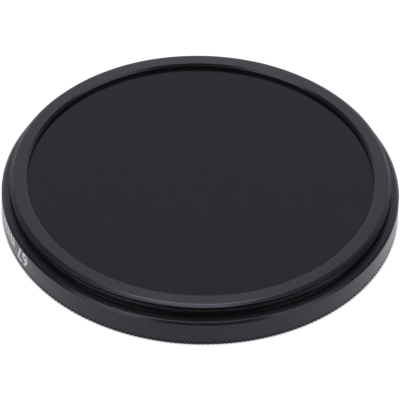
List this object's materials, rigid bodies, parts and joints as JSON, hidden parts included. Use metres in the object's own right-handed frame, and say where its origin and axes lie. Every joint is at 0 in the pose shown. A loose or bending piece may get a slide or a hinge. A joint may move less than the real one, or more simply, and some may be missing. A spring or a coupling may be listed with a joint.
{
  "type": "screw-in lens filter",
  "caption": "Round screw-in neutral density lens filter: knurled black frame with a male rear thread and a female front thread, holding a dark glass disc behind a retaining ring.",
  "frame": {"origin": "centre of the front rim, on the surface that the filter lies on", "axes": "+Z along the optical axis, towards the rear, where the male thread screws into a lens"},
  "size_m": [0.07, 0.07, 0.0074],
  "materials": {
    "black_anodised": "black anodised, satin, with fine turning marks",
    "dark_glass": "polished neutral density glass, almost opaque",
    "ring_anodised": "black anodised, matt"
  },
  "bodies": {
    "root": {"filter_frame": "black_anodised", "filter_glass": "dark_glass", "retaining_ring": "ring_anodised"}
  },
  "joints": []
}
